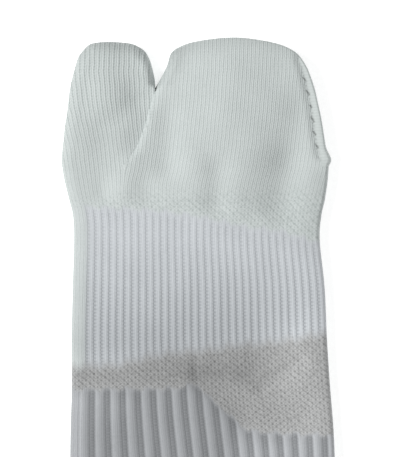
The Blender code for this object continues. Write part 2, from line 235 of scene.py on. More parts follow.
BOTTOM_CREASES = (
    (-38.0, 22.0, -30.0, 34.0, 4.0, 0.4),
    (4.0, 20.0, 12.0, 40.0, 6.0, 0.4),
    (-20.0, 60.0, 24.0, 66.0, 5.0, 0.5),
    (-28.0, 104.0, 10.0, 98.0, 5.0, 0.4),
    (-10.0, 140.0, 30.0, 146.0, 5.0, 0.5),
    (-24.0, 252.0, 26.0, 256.0, 4.0, 0.4),
)
# Gentle unevenness all over:  height, radians for each mm of x and of s, start
SOFT_WAVES = (
    (0.05, 0.31, 0.17, 1.0),
    (0.04, 0.23, -0.29, 2.2),
    (0.03, 0.53, 0.11, 0.0),
    (0.03, -0.35, 0.41, 0.7),
)

# The four-toe pocket's inner fold laps over the big toe's from the crotch down, sunk part way in
LAP_START = (16.4, 20.8)
LAP_END = (40.0, 47.0)
LAP_REACH = 9.0         # how far in from the fold it shows
LAP_RISE = 2.2          # of the upper pocket's middle
LAP_THIN = 2.0          # off the upper pocket's half height
LAP_SQUASH = 0.6        # off the lower pocket's
LAP_ROLL = (0.9, 1.7)   # the upper fold turns down: by how much, over how far
LAP_TIGHT = 2.2         # off the upper fold's rounding

# The heel pocket's outline:  s, half width
HEEL_ROWS = (
    (188.3, 44.0),
    (196.0, 43.0),
    (206.0, 40.0),
    (216.0, 35.5),
    (226.0, 28.5),
    (233.0, 20.5),
    (237.5, 10.5),
)
HEEL_TIP = 239.0
HEEL_X = 1.0
HEEL_HEIGHT = 2.6
HEEL_GAP = 0.3
HEEL_CLEAR = 3.5        # the leg lies over the pocket, and comes down between
HEEL_DRAPE = 13.0       # these distances from it
HEEL_FADE = 6.0         # how far past the ankle line its edge has its full section
HEEL_RINGS = (0.66, 0.33, 0.0)  # widths of the rings that close its middle
# Its edge from below:  how far in from the outline, share of the height
HEEL_EDGE = (
    (6.0, 0.0),
    (1.5, 0.0),
    (0.35, 0.07),
    (0.0, 0.25),
    (0.25, 0.42),
    (0.9, 0.5),
    (0.25, 0.58),
    (0.0, 0.75),
    (0.35, 0.93),
    (1.5, 1.0),
    (6.0, 1.0),
)

CUFF_LIP = 0.9          # radius of the cuff's turned edge
CUFF_DEEP = 26.0        # how far in its lining reaches
CUFF_THIN = 0.05        # least share of the gap that the lining leaves
CUFF_TURN = 9           # points round the turned edge
CUFF_ROW = 0.4          # courses to a row of points there

STEP = 0.38             # between points across the instep
ROW_STEP = 0.55         # and along it
SOLE_STEP = 0.9
EDGE_POINTS = 14        # over which a fold rounds
POCKET_LENGTH = 43.0    # nominal sizes, for the count of points
BIG_TOE_WIDTH = 34.0
FOUR_TOE_TOP = 62.0
FOUR_TOE_SOLE = 66.0
TUBE_WIDTH = 96.0
TUBE_LEFT, TUBE_SPAN = -47.0, 95.0
BATCH = 8000            # points measured at a time
WELD = 0.00002          # metres between points that are made one


def smoothstep(low, high, value):
    t = np.clip((value - low) / (high - low), 0.0, 1.0)
    return t * t * (3.0 - 2.0 * t)


def bell(away, reach):
    return np.exp(-((away / reach) ** 2))


def column(rows, index):
    return np.array([row[index] for row in rows], float)


def along(rows, at):
    """A table of two columns, read between its rows."""
    return np.interp(at, column(rows, 0), column(rows, 1))


def spline(points):
    """A smooth line through the points."""
    p = np.array(points, float)
    p = np.vstack([2 * p[0] - p[1], p, 2 * p[-1] - p[-2]])
    t = np.linspace(0.0, 1.0, SPLINE_STEPS, endpoint=False)[:, None]
    out = []
    for a, b, c, d in zip(p[:-3], p[1:-2], p[2:-1], p[3:]):
        out.append(
            0.5
            * (
                2 * b
                + (c - a) * t
                + (2 * a - 5 * b + 4 * c - d) * t**2
                + (3 * b - a - 3 * c + d) * t**3
            )
        )
    out.append(p[-2:-1])
    return np.vstack(out)


def resample(line, shares):
    """Points of a line at shares of its length."""
    steps = np.linalg.norm(np.diff(line, axis=0), axis=1)
    length = np.concatenate([[0.0], np.cumsum(steps)])
    at = np.asarray(shares) * length[-1]
    return np.stack([np.interp(at, length, line[:, k]) for k in (0, 1)], axis=-1)


def plan(x, s):
    """Points of the plan, where y runs towards the toes."""
    x, s = np.broadcast_arrays(np.asarray(x, float), np.asarray(s, float))
    return np.stack([x, -s], axis=-1)


def side_lines(rows, tip):
    """A pocket's inner side, tip and outer side, cut from one smooth outline."""
    s = column(rows, 0)
    left = plan(column(rows, 1), s)
    right = plan(column(rows, 2), s)
    top = plan(column(tip, 0), column(tip, 1))
    outline = spline(np.vstack([left, top, right[::-1]]))
    a = (len(left) - 1) * SPLINE_STEPS
    b = (len(left) + len(top)) * SPLINE_STEPS
    return outline[: a + 1], outline[a : b + 1], outline[b:][::-1]


BIG_LEFT, BIG_TIP, BIG_RIGHT = side_lines(BIG_TOE_ROWS, BIG_TOE_TIP)
FOUR_LEFT, FOUR_TIP, FOUR_RIGHT = side_lines(FOUR_TOE_ROWS, FOUR_TOE_TIP)
SEAM_LINE = spline(plan(column(SEAM_ROWS, 1), column(SEAM_ROWS, 0)))
SEAM_LINE[-1] = FOUR_TIP[-1]
FOOT_LEFT = spline(plan(column(FOOT_ROWS, 1), column(FOOT_ROWS, 0)))
FOOT_RIGHT = spline(plan(column(FOOT_ROWS, 2), column(FOOT_ROWS, 0)))
EDGES = {
    "big_left": np.vstack([BIG_LEFT, BIG_TIP[1:]]),
    "big_right": BIG_RIGHT[::-1],
    "four_left": FOUR_LEFT,
    "four_right": np.vstack([FOUR_TIP, FOUR_RIGHT[::-1][1:]]),
    "foot_left": FOOT_LEFT[::-1],
    "foot_right": FOOT_RIGHT,
    "seam": SEAM_LINE,
    "big_tip": BIG_TIP,
    "four_tip": FOUR_TIP,
}


def nearest(points, line):
    """Distance of each point from a line, worked out in batches."""
    a = line[:-1]
    ab = line[1:] - a
    span = (ab**2).sum(axis=1)
    out = np.empty(len(points))
    for k in range(0, len(points), BATCH):
        p = points[k : k + BATCH, None]
        t = np.clip(((p - a) * ab).sum(axis=2) / span, 0.0, 1.0)
        away = p - (a + t[..., None] * ab)
        out[k : k + BATCH] = np.sqrt((away**2).sum(axis=2).min(axis=1))
    return out


def nearest_of(points, names):
    return np.min([nearest(points, EDGES[name]) for name in names], axis=0)


def from_stroke(points, x1, s1, x2, s2):
    """Distance of each point from a short straight line, and its share of the way along."""
    a = np.array([x1, -s1])
    ab = np.array([x2, -s2]) - a
    t = np.clip(((points - a) @ ab) / (ab @ ab), 0.0, 1.0)
    return np.linalg.norm(points - a - t[:, None] * ab, axis=1), t


def creases(points, table):
    total = np.zeros(len(points))
    for x1, *ends, reach, height in table:
        away, t = from_stroke(points, x1, *ends)
        total += height * bell(away, reach) * (0.94 + 0.06 * np.cos(5.0 * t + x1))
    return total


def softness(points):
    """Small uneven swells that keep the cloth from looking pressed."""
    x, s = points[:, 0], -points[:, 1]
    return sum(height * np.sin(a * x + b * s + start) for height, a, b, start in SOFT_WAVES)


def lap(points, edge):
    """How much of the lap there is beside a pocket's fold."""
    s = -points[:, 1]
    built = smoothstep(*LAP_START, s) * (1.0 - smoothstep(*LAP_END, s))
    return built * (1.0 - smoothstep(0.0, LAP_REACH, nearest(points, EDGES[edge])))


def heel_outline():
    s = column(HEEL_ROWS, 0)
    w = column(HEEL_ROWS, 1)
    tip = plan([HEEL_X], [HEEL_TIP])
    return spline(np.vstack([plan(HEEL_X - w, s), tip, plan(HEEL_X + w, s)[::-1]]))


HEEL_LINE = heel_outline()


def heel_lift(points):
    """How far the leg is raised by the heel pocket below it."""
    s = -points[:, 1]
    d = nearest(points, HEEL_LINE)
    width = along(HEEL_ROWS, s)
    inside = (np.abs(points[:, 0] - HEEL_X) < width) & (s < HEEL_TIP)
    away = np.where(inside, 0.0, d)
    return (HEEL_HEIGHT + HEEL_GAP) * (1.0 - smoothstep(HEEL_CLEAR, HEEL_DRAPE, away))


def form(points, region):
    """Middle, half height and edge share of the flattened tube over the plan."""
    s = -points[:, 1]
    lift = np.zeros(len(points))
    half = along(HALF_ROWS, s)
    round_in = FOLD_ROUND
    foot_left = nearest(points, EDGES["foot_left"]) * INNER_FOLD
    if region == "big_toe":
        hidden = nearest(points, EDGES["big_right"]) + BURIED * smoothstep(*LAP_START, s)
        shown = nearest(points, EDGES["big_left"]) * INNER_FOLD
        d = np.minimum(np.minimum(shown, foot_left), hidden)
        half = half - LAP_SQUASH * lap(points, "big_right")
    elif region == "four_toe":
        away = nearest(points, EDGES["four_left"])
        fold = away + BURIED * smoothstep(*LAP_END, s)
        sharp = OUTER_FOLD + SEAM_SHARP * (1.0 - smoothstep(*SEAM_EASE, s))
        outer = nearest(points, EDGES["four_right"]) * sharp
        behind = nearest(points, EDGES["foot_right"]) + BURIED / 2.0
        d = np.minimum(np.minimum(outer, behind), fold)
        raised = lap(points, "four_left")
        turned = LAP_ROLL[0] * bell(away, LAP_ROLL[1])
        lift = (LAP_RISE + LAP_THIN - turned) * raised
        half = half - LAP_THIN * raised
        round_in = FOLD_ROUND - LAP_TIGHT * raised
    elif region == "foot":
        inner = nearest(points, EDGES["big_left"]) * INNER_FOLD
        outer = nearest_of(points, ("foot_right", "four_right")) * OUTER_FOLD
        d = np.minimum(np.minimum(foot_left, inner), outer)
    else:
        d = np.minimum(foot_left, nearest(points, EDGES["foot_right"]) * OUTER_FOLD)
        lift = heel_lift(points)
        half = along(LEG_HALF_ROWS, s)
        if region == "cuff":
            half = half + (CUFF_HALF - half) * smoothstep(WELT_LINE, WELT_LINE + 1.0, s)
    share = np.clip(d / round_in, 0.0, 1.0)
    edge = np.clip(1.0 - (1.0 - share) ** 2, 0.0, 1.0) ** FOLD_POWER
    return lift + half, half, edge


# Wales and courses -----------------------------------------------------------
WALE = 1.37             # between two wales over the instep
TOP_WALES = 68          # wales between the two folds
TOE_WALE = 1.43
RIB_LEFT_STRIP = 5.4    # plain cloth beside the inner fold
WALE_SHIFT = -2.0       # brings the toes' count and the foot's together ahead of the ribs
WALES_JOIN = (47.0, 64.0)
# Where one pocket's wales give way to the other's:  s, x
MEET_ROWS = (
    (0.0, -14.0),
    (18.0, -15.4),
    (30.0, -17.0),
    (46.8, MEET_X),
)
MEET_LEAN = 0.24        # of that line below the pockets
MEET_SOFT = (44.0, 50.0, 3.0)       # s from and to, and how wide the change becomes
# How far the wales have strayed sideways:  s, shift
BIG_STRAY = (
    (0.0, 0.0),
    (12.0, 0.4),
    (25.0, -0.5),
    (37.0, -2.2),
    (60.0, -4.5),
)
FOUR_STRAY = (
    (0.0, 0.0),
    (12.0, 0.5),
    (26.0, 1.5),
    (41.0, 3.1),
    (54.0, 5.2),
    (75.0, 8.0),
)
BIG_WALES = (
    (5.0, 1.82),
    (15.0, 1.80),
    (27.0, 1.70),
    (40.0, 1.58),
    (60.0, 1.5),
)
BIG_WALE_X, BIG_WALE_COUNT = -30.0, 13.0
FOUR_WALE_X = -40.0
ARCH_LEAN = (126.0, 170.0, 3.0)     # the wales bow over the arch: s from and to, and how far
# s, length of a course there
COURSE_ROWS = (
    (-5.0, 1.08),
    (54.0, 1.08),
    (62.0, 1.19),
    (72.0, 1.30),
    (112.0, 1.30),
    (120.0, 1.19),
    (140.0, 1.10),
    (300.0, 1.08),
)
COURSE = 1.08
COURSE_STEP = 0.5
STEPS_S = np.arange(-5.0, 301.0, COURSE_STEP)
STEPS_V = np.cumsum(COURSE_STEP / along(COURSE_ROWS, STEPS_S))


def foot_edges(s):
    left = np.interp(-s, FOOT_LEFT[::-1, 1], FOOT_LEFT[::-1, 0])
    right = np.interp(-s, FOOT_RIGHT[::-1, 1], FOOT_RIGHT[::-1, 0])
    return left, right


def toe_wales(points):
    """The wales lean and crowd as they do on each pocket."""
    x, s = points[:, 0], -points[:, 1]
    ridge = MEET_X - MEET_LEAN * (s - TOE_BASE)
    line = np.where(s > TOE_BASE, ridge, along(MEET_ROWS, s))
    start, end, width = MEET_SOFT
    reach = 0.01 + width * smoothstep(start, end, s)
    four = smoothstep(line - reach, line + reach, x)
    u_big = (x - BIG_WALE_X + along(BIG_STRAY, s)) / along(BIG_WALES, s) + BIG_WALE_COUNT
    u_four = (x - FOUR_WALE_X + along(FOUR_STRAY, s)) / TOE_WALE
    return u_big + (u_four - u_big) * four


def foot_wales(points):
    """The wales over the instep, counted from the inner fold."""
    x, s = points[:, 0], -points[:, 1]
    left, right = foot_edges(s)
    share = (x - left) / (right - left)
    start, end, bow = ARCH_LEAN
    lean = bow * smoothstep(start, end, s) * np.sin(np.clip(share, 0, 1) * math.pi) ** 1.2
    return share * TOP_WALES - lean / WALE


def knit_lines(points):
    """Wale and course of every point of the upper side, unbroken from the toes to the cuff."""
    s = -points[:, 1]
    joined = smoothstep(*WALES_JOIN, s)
    u = toe_wales(points) * (1.0 - joined) + (foot_wales(points) + WALE_SHIFT) * joined
    return u, -np.interp(s, STEPS_S, STEPS_V)


# One rib seen from its end:  share of the repeat, height
FINE_RIB = (
    (0.00, 0.00),
    (0.10, 0.05),
    (0.22, 0.20),
    (0.34, 0.50),
    (0.44, 0.80),
    (0.54, 0.97),
    (0.64, 1.00),
    (0.74, 0.90),
    (0.84, 0.62),
    (0.92, 0.32),
    (1.00, 0.00),
)
WIDE_RIB = (
    (0.00, 0.00),
    (0.05, 0.22),
    (0.12, 0.78),
    (0.20, 0.98),
    (0.35, 0.98),
    (0.48, 0.86),
    (0.58, 0.74),
    (0.65, 0.64),
    (0.73, 0.33),
    (0.82, 0.27),
    (0.93, 0.14),
    (1.00, 0.00),
)
FINE_WALES = 2.0        # wales to a rib
WIDE_WALES = 4.0
WIDE_PHASE = 0.5
RIB_MIDDLE = 0.6        # the height in a section that lies on the tube's surface
FINE_HEIGHT = 0.23
WIDE_HEIGHT = 1.15
LEG_RIB_HEIGHT = 0.45
LINE_WIDTH = 0.06       # of the darkest line in a wide rib's groove, as a share of the repeat


def section(table, phase):
    """Height of a rib at any phase."""
    return along(table, phase - np.floor(phase))


def fine_phase(points):
    return foot_wales(points) / FINE_WALES


def wide_phase(points):
    return foot_wales(points) / WIDE_WALES + WIDE_PHASE


def teeth(points):
    """Where one stitch pattern gives way to the next, each wale stops on its own course."""
    wale = np.floor(foot_wales(points))
    return 0.55 * np.sin(5.1 * wale) + 0.35 * np.sin(2.3 * wale + 1.0)


def from_left(points):
    """Distance in from the inner fold."""
    return points[:, 0] - foot_edges(-points[:, 1])[0]


def fine_share(points):
    """How much of the fine rib there is at a point, and how deep it goes."""
    x, s = points[:, 0], -points[:, 1] + teeth(points)
    start, end = along(RIB_START_LINE, x), along(RIB_END_LINE, x)
    fade = smoothstep(start - 0.5, start + 3.0, s) * (1.0 - smoothstep(end - 2.8, end + 1.2, s))
    strip = smoothstep(RIB_LEFT_STRIP - 1.0, RIB_LEFT_STRIP + 0.6, from_left(points))
    return fade * strip * (0.6 + 0.4 * smoothstep(68.0, 105.0, s))


def wide_share(points):
    """The same for the wide ribs of the arch."""
    x, s = points[:, 0], -points[:, 1] + 0.5 * teeth(points)
    start = along(MESH_END_LINE, x)
    fade = smoothstep(start - 0.4, start + 1.6, s)
    fade = fade * (1.0 - smoothstep(ARCH_END - 4.0, ARCH_END + 1.0, s))
    return fade * smoothstep(2.6, 4.2, from_left(points))


def fine_groove(points):
    return fine_share(points) * (1.0 - section(FINE_RIB, fine_phase(points)))


def wide_groove(points):
    return wide_share(points) * (1.0 - section(WIDE_RIB, wide_phase(points)))


def wide_line(points):
    """Where the painted shade of an arch rib's groove is darkest: a line ahead of the next rib."""
    phase = wide_phase(points)
    return wide_share(points) * bell(phase - np.round(phase), LINE_WIDTH)


def rib_relief(points):
    """Heights of the fine and the wide ribs over the instep."""
    fine = FINE_HEIGHT * (section(FINE_RIB, fine_phase(points)) - RIB_MIDDLE) * fine_share(points)
    wide = WIDE_HEIGHT * (section(WIDE_RIB, wide_phase(points)) - RIB_MIDDLE) * wide_share(points)
    return fine + wide


def leg_rib(points):
    s = -points[:, 1]
    fade = smoothstep(ANKLE_LINE + 8.0, ANKLE_LINE + 14.0, s)
    fade = fade * (1.0 - smoothstep(WELT_LINE - 1.5, WELT_LINE, s))
    return LEG_RIB_HEIGHT * (section(FINE_RIB, fine_phase(points)) - 0.5) * fade


def zones(points):
    """Shares at each point of the bird's-eye pattern, the rib's yarn, the mesh's and the arch's."""
    x, s = points[:, 0], -points[:, 1]
    jag = s + teeth(points)
    plain_end, rib_start = along(PLAIN_END_LINE, x), along(RIB_START_LINE, x)
    rib_end, mesh_end = along(RIB_END_LINE, x), along(MESH_END_LINE, x)
    strip = smoothstep(RIB_LEFT_STRIP - 1.5, RIB_LEFT_STRIP + 1.0, from_left(points))
    ribbed = smoothstep(rib_start - 0.8, rib_start + 1.4, jag)
    rib = ribbed * (0.15 + 0.85 * strip)
    mesh = smoothstep(rib_end - 3.4, rib_end + 2.2, jag)
    arch = smoothstep(mesh_end - 0.9, mesh_end + 0.9, jag)
    lattice = smoothstep(plain_end - 5.0, plain_end + 4.0, s) * (1.0 - ribbed)
    lattice = np.maximum(lattice, mesh * (1.0 - arch))
    past = smoothstep(ARCH_END - 2.0, ARCH_END + 5.0, s)
    return np.column_stack([lattice, rib, mesh * (1.0 - past), arch * (1.0 - past)])


# Painted shade in the ribs' grooves: how much darker their colour is made
FINE_GROOVE_PAINTED_SHADE = 0.11
WIDE_GROOVE_PAINTED_SHADE = 0.29
GROOVE_LINE_PAINTED_SHADE = 0.12
# Painted shade beside an edge:  reach, depth
INNER_PAINTED_SHADE = (4.2, 0.15)
TIP_PAINTED_SHADE = (3.5, 0.10)
OUTER_PAINTED_SHADE = (6.5, 0.07)
LAP_LIGHT = 8.0         # past the crotch, the lap's fold counts as this far off
# Painted shade and, below nought, painted light:  x1, s1, x2, s2, reach, depth
PAINTED_SHADE_AND_LIGHT = (
    (0.0, 12.0, 26.0, 26.0, 22.0, -0.045),
    (-38.5, 38.0, -27.0, 35.5, 4.5, 0.05),
    (-1.0, 121.8, 17.0, 123.0, 4.6, 0.20),
    (-40.0, 124.5, -6.0, 123.5, 4.0, 0.08),
    (-1.0, 125.0, 14.0, 139.0, 4.0, 0.14),
    (-14.0, 112.0, 18.0, 108.0, 14.0, 0.09),
    (-34.0, 106.0, -10.0, 113.0, 11.0, 0.07),
    (-26.0, 70.0, 26.0, 76.0, 10.0, -0.07),
    (40.0, 86.0, 41.0, 106.0, 9.0, -0.11),
    (-38.0, 70.0, -38.0, 84.0, 8.0, -0.04),
    (36.0, 116.0, 42.0, 138.0, 10.0, -0.24),
    (20.0, 153.0, 44.0, 153.0, 9.0, -0.32),
    (11.0, 148.0, 14.0, 154.0, 6.0, 0.08),
    (-39.0, 132.0, -31.0, 135.0, 6.0, -0.09),
    (-44.0, 112.0, -26.0, 112.5, 5.0, 0.05),
    (-8.0, 97.0, 4.0, 106.0, 9.0, 0.04),
    (45.0, 52.0, 45.0, 66.0, 4.0, 0.05),
    (-23.0, 4.5, -20.0, 8.0, 4.0, -0.09),
    (-18.0, 11.0, -16.0, 17.0, 3.0, -0.07),
    (27.0, 6.0, 38.0, 11.0, 9.0, -0.05),
    (-9.0, 5.0, -3.0, 2.0, 5.0, 0.08),
    (-43.0, 70.0, -43.0, 118.0, 5.0, 0.05),
    (-43.5, 134.0, -43.5, 170.0, 3.5, -0.12),
)


def shadow(points):
    """Painted shade and light in the yarn's colour: shade in the ribs' grooves and beside the edges,
    and the painted shade and light of the places above.
    """
    s = -points[:, 1]
    # painted shade in the ribs' grooves
    tone = 1.0 - FINE_GROOVE_PAINTED_SHADE * fine_groove(points) - WIDE_GROOVE_PAINTED_SHADE * wide_groove(points)
    tone = tone - GROOVE_LINE_PAINTED_SHADE * wide_line(points)
    # painted shade beside the inner folds, the tips and the outer fold
    beside = nearest(points, EDGES["four_left"]) + LAP_LIGHT * smoothstep(*LAP_START, s)
    inner = np.minimum(nearest_of(points, ("big_left", "foot_left")), beside)
    outer = nearest(points, EDGES["foot_right"])
    tips = nearest_of(points, ("big_tip", "four_tip"))
    for away, (reach, depth), share in (
        (inner, INNER_PAINTED_SHADE, 1.0),
        (tips, TIP_PAINTED_SHADE, 1.0),
        (outer, OUTER_PAINTED_SHADE, smoothstep(44.0, 52.0, s)),
    ):
        tone = tone * (1.0 - depth * bell(away, reach) * share)
    # painted shade and light at the places listed above
    for *ends, reach, depth in PAINTED_SHADE_AND_LIGHT:
        away, _ = from_stroke(points, *ends)
        tone = tone * (1.0 - depth * bell(away, reach))
    return tone


def ankle_rise(points, region, edge):
    """Ahead of the ankle line the arch band's folds climb to meet the raised leg's."""
    if region != "foot":
        return np.zeros(len(points))
    end = plan(points[:, 0], np.full(len(points), ANKLE_LINE))
    step = heel_lift(end) + LEG_HALF_ROWS[0][1] - HALF_ROWS[-1][1]
    return step * smoothstep(ANKLE_LINE - 12.0, ANKLE_LINE, -points[:, 1]) * (1.0 - edge)


def top_point(points, region, relief=None):
    """Height of the upper layer."""
    middle, half, edge = form(points, region)
    z = middle + half * edge + (creases(points, TOP_CREASES) + softness(points)) * edge
    z = z + ankle_rise(points, region, edge)
    if relief is not None:
        z = z + relief(points) * smoothstep(0.0, 0.5, edge)
    return z


def bottom_point(points, region):
    """Height of the lower layer, which rests on the floor."""
    middle, half, edge = form(points, region)
    z = middle - half * edge + creases(points, BOTTOM_CREASES) * edge
    z = z + ankle_rise(points, region, edge)
    return np.maximum(z, 0.0)


# Grids -----------------------------------------------------------------------
def share_columns(width, step):
    """Shares across a piece: close together where the folds round, even between them."""
    turn = np.linspace(0.0, math.pi / 2.0, EDGE_POINTS + 1)
    edge = FOLD_ROUND * (1.0 - np.cos(turn))
    edge[1:] = np.maximum(edge[1:], 0.004 * np.arange(1, EDGE_POINTS + 1))
    count = max(2, int((width - 2 * FOLD_ROUND) / step))
    middle = np.linspace(FOLD_ROUND, width - FOLD_ROUND, count + 1)[1:-1]
    return np.concatenate([edge, middle, (width - edge)[::-1]]) / width


def tip_rows(length, step):
    """Shares from the base of a pocket to its tip, close together where the tip rounds."""
    turn = np.linspace(0.0, math.pi / 2.0, EDGE_POINTS + 1)
    edge = length - FOLD_ROUND * (1.0 - np.cos(turn))
    count = max(2, int((length - FOLD_ROUND) / step))
    straight = np.linspace(0.0, length - FOLD_ROUND, count + 1)[:-1]
    return np.concatenate([straight, edge[::-1]]) / length


def pocket_grid(left, tip, right, width, step, row_step):
    """A grid between a pocket's two sides, from its base to its tip."""
    u = share_columns(width, step)[None, :, None]
    v = tip_rows(POCKET_LENGTH, row_step)[:, None, None]
    side_l = resample(left, v.ravel())[:, None]
    side_r = resample(right, v.ravel())[:, None]
    top = resample(tip, u.ravel())[None]
    base = left[0] + (right[0] - left[0]) * u
    corners = (
        (1 - u) * (1 - v) * left[0]
        + u * (1 - v) * right[0]
        + (1 - u) * v * tip[0]
        + u * v * tip[-1]
    )
    return (1 - u) * side_l + u * side_r + (1 - v) * base + v * top - corners


def line_at(line, x):
    """s of a line that is a table, or of one straight across."""
    return along(line, x) if isinstance(line, tuple) else np.full(len(x), line)


def tube_grid(start, end, step, row_step):
    """A grid of a tube's upper or lower layer, from fold to fold between two lines."""
    u = share_columns(TUBE_WIDTH, step)
    across = TUBE_LEFT + TUBE_SPAN * u
    s0, s1 = line_at(start, across), line_at(end, across)
    rows = max(2, int(np.ceil((s1 - s0).max() / row_step)))
    v = np.linspace(0.0, 1.0, rows + 1)[:, None]
    s = s0 + (s1 - s0) * v
    left, right = foot_edges(s)
    return plan(left + u * (right - left), s)


def to_frame(points, z):
    return np.column_stack([points[:, 0] - FRAME_X, points[:, 1] + FRAME_S, z]) * MM


class Cloth:
    """Collects grids of quads with their wales and courses, stitch zones and shadows."""

    def __init__(self, name):
        self.name = name
        self.points, self.faces, self.uv = [], [], []
        self.mats, self.zones, self.looks = [], [], []
        self.count = 0
        self.materials = []

    def grid(self, flat, z, lines, material, under=False, **looks):
        """Quads over a grid of the plan; an underside's face down."""
        rows, cols, _ = flat.shape
        flat = flat.reshape(-1, 2)
        index = np.arange(rows * cols).reshape(rows, cols) + self.count
        quads = np.stack(
            [index[:-1, :-1], index[:-1, 1:], index[1:, 1:], index[1:, :-1]], axis=-1
        ).reshape(-1, 4)
        # rows of a pocket run towards the toes, rows of a tube towards the leg
        ahead = flat[(rows - 1) * cols, 1] > flat[0, 1]
        if ahead == under:
            quads = quads[:, ::-1]
        count = len(flat)
        self.points.append(to_frame(flat, z))
        self.faces.append(quads)
        self.uv.append(np.column_stack(lines))
        self.zones.append(looks.get("zone", np.zeros((count, 4))))
        tone = looks.get("tone", np.ones(count))
        groove, bold = (looks.get(name, np.zeros(count)) for name in ("groove", "bold"))
        self.looks.append(np.column_stack([tone, groove, bold]))
        if material not in self.materials:
            self.materials.append(material)
        self.mats.append(np.full(len(quads), self.materials.index(material)))
        self.count += count

    def build(self):
        """The mesh of all the grids, welded where they meet."""
        points = np.vstack(self.points)
        faces = np.vstack(self.faces)
        uv = np.vstack(self.uv)
        mesh = bpy.data.meshes.new(self.name)
        mesh.vertices.add(len(points))
        mesh.vertices.foreach_set("co", points.astype(np.float32).ravel())
        mesh.loops.add(faces.size)
        mesh.loops.foreach_set("vertex_index", faces.ravel().astype(np.int32))
        mesh.polygons.add(len(faces))
        mesh.polygons.foreach_set("loop_start", np.arange(0, faces.size, 4, dtype=np.int32))
        mesh.polygons.foreach_set("material_index", np.concatenate(self.mats).astype(np.int32))
        layer = mesh.uv_layers.new(name="knit")
        layer.data.foreach_set("uv", uv[faces.ravel()].astype(np.float32).ravel())
        zone = mesh.attributes.new("zone", "FLOAT_COLOR", "POINT")
        zone.data.foreach_set("color", np.vstack(self.zones).astype(np.float32).ravel())
        look = mesh.attributes.new("look", "FLOAT_VECTOR", "POINT")
        look.data.foreach_set("vector", np.vstack(self.looks).astype(np.float32).ravel())
        for material in self.materials:
            mesh.materials.append(material)
        mesh.update()
        mesh.validate()
        bm = bmesh.new()
        bm.from_mesh(mesh)
        bmesh.ops.remove_doubles(bm, verts=bm.verts, dist=WELD)
        bm.to_mesh(mesh)
        bm.free()
        mesh.shade_smooth()
        thing = bpy.data.objects.new(self.name, mesh)
        bpy.context.scene.collection.objects.link(thing)
        return thing


# Materials -------------------------------------------------------------------
class Nodes:
    """Short ways to wire a material's nodes."""

    def __init__(self, material):
        material.use_nodes = True
        self.tree = material.node_tree
        self.shader = self.tree.nodes["Principled BSDF"]

    def add(self, kind, **settings):
        node = self.tree.nodes.new(kind)
        for key, value in settings.items():
            setattr(node, key, value)
        return node

    def put(self, socket, value):
        if isinstance(value, bpy.types.NodeSocket):
            self.tree.links.new(value, socket)
        else:
            socket.default_value = value

    def math(self, operation, a, b=0.0, c=0.0, clamp=False):
        node = self.add("ShaderNodeMath", operation=operation, use_clamp=clamp)
        for socket, value in zip(node.inputs, (a, b, c)):
            self.put(socket, value)
        return node.outputs[0]

    def wave(self, x):
        """0.5 + 0.5 cos of whole turns."""
        turn = self.math("MULTIPLY", x, 2.0 * math.pi)
        return self.math("MULTIPLY_ADD", self.math("COSINE", turn), 0.5, 0.5)

    def stray(self, noise, amount, base=0.0, clamp=False):
        """A value that the noise moves either way."""
        return self.math("MULTIPLY_ADD", self.math("SUBTRACT", noise, 0.5), amount, base, clamp)

    def parts(self, vector):
        node = self.add("ShaderNodeSeparateXYZ")
        self.put(node.inputs[0], vector)
        return node.outputs

    def mix(self, share, a, b):
        node = self.add("ShaderNodeMix", data_type="RGBA")
        self.put(node.inputs[0], share)
        self.put(node.inputs[6], a)
        self.put(node.inputs[7], b)
        return node.outputs[2]

    def blend(self, share, a, b):
        node = self.add("ShaderNodeMix", data_type="FLOAT")
        for index, value in ((0, share), (2, a), (3, b)):
            self.put(node.inputs[index], value)
        return node.outputs[0]

    def noise(self, where, scale, detail):
        node = self.add("ShaderNodeTexNoise")
        self.put(node.inputs["Vector"], where)
        node.inputs["Scale"].default_value = scale
        node.inputs["Detail"].default_value = detail
        return node.outputs[0]

    def ramp(self, low, high, value):
        node = self.add("ShaderNodeMapRange", interpolation_type="SMOOTHSTEP")
        for socket, v in zip(node.inputs, (value, low, high, 0.0, 1.0)):
            self.put(socket, v)
        return node.outputs[0]


# Yarns: linear colours of the stitches and of the gaps between them; the gaps' darker colour is
# painted shade between the stitches
YARN = {
    "plain": ((0.535, 0.575, 0.567), (0.33, 0.37, 0.36)),
    "terry": ((0.52, 0.555, 0.55), (0.34, 0.37, 0.36)),
    "rib": ((0.525, 0.55, 0.572), (0.33, 0.35, 0.37)),
    # the mesh's and the arch's yarns are greyer: partly their own grey, partly painted shade for the
    # light's fall towards the leg
    "mesh": ((0.402, 0.407, 0.406), (0.17, 0.172, 0.172)),
    "arch": ((0.357, 0.369, 0.383), (0.19, 0.20, 0.208)),
    "leg": ((0.48, 0.51, 0.51), (0.32, 0.34, 0.34)),
    "selvedge": ((0.53, 0.57, 0.56), (0.38, 0.41, 0.40)),
}
# Noises:  scale, detail
FUZZ = (2600.0, 3.0)
SPECKLE = (900.0, 2.0)
BLOTCH = (90.0, 3.0)
WAVER = (240.0, 2.0)
FUZZ_HEIGHT = 0.35
BUMP_DEPTH = 0.0004     # metres
SHEEN = 0.12
SPECULAR = 0.25


def stockinette(n, u, v):
    """Height and shade of plain knit: two legs of yarn to a wale lean together at every course."""
    across = n.math("FRACT", u)
    a = n.math("MULTIPLY", n.math("ABSOLUTE", n.math("SUBTRACT", across, 0.5)), 2.0)
    leg = n.math("SINE", n.math("MULTIPLY", a, math.pi))
    body = n.math("MULTIPLY_ADD", n.math("SUBTRACT", 1.0, a), 0.45, leg)
    course = n.wave(n.math("MULTIPLY_ADD", a, 0.5, v))
    height = n.math("MULTIPLY", body, n.math("MULTIPLY_ADD", course, 0.35, 0.65))
    gap = n.math("MULTIPLY", n.ramp(0.42, 1.0, a), n.math("MULTIPLY_ADD", course, -0.25, 0.88))
    deep = n.math("MULTIPLY", n.ramp(0.6, 1.0, n.math("SUBTRACT", 1.0, course)), 0.25)
    return height, n.math("ADD", gap, deep)


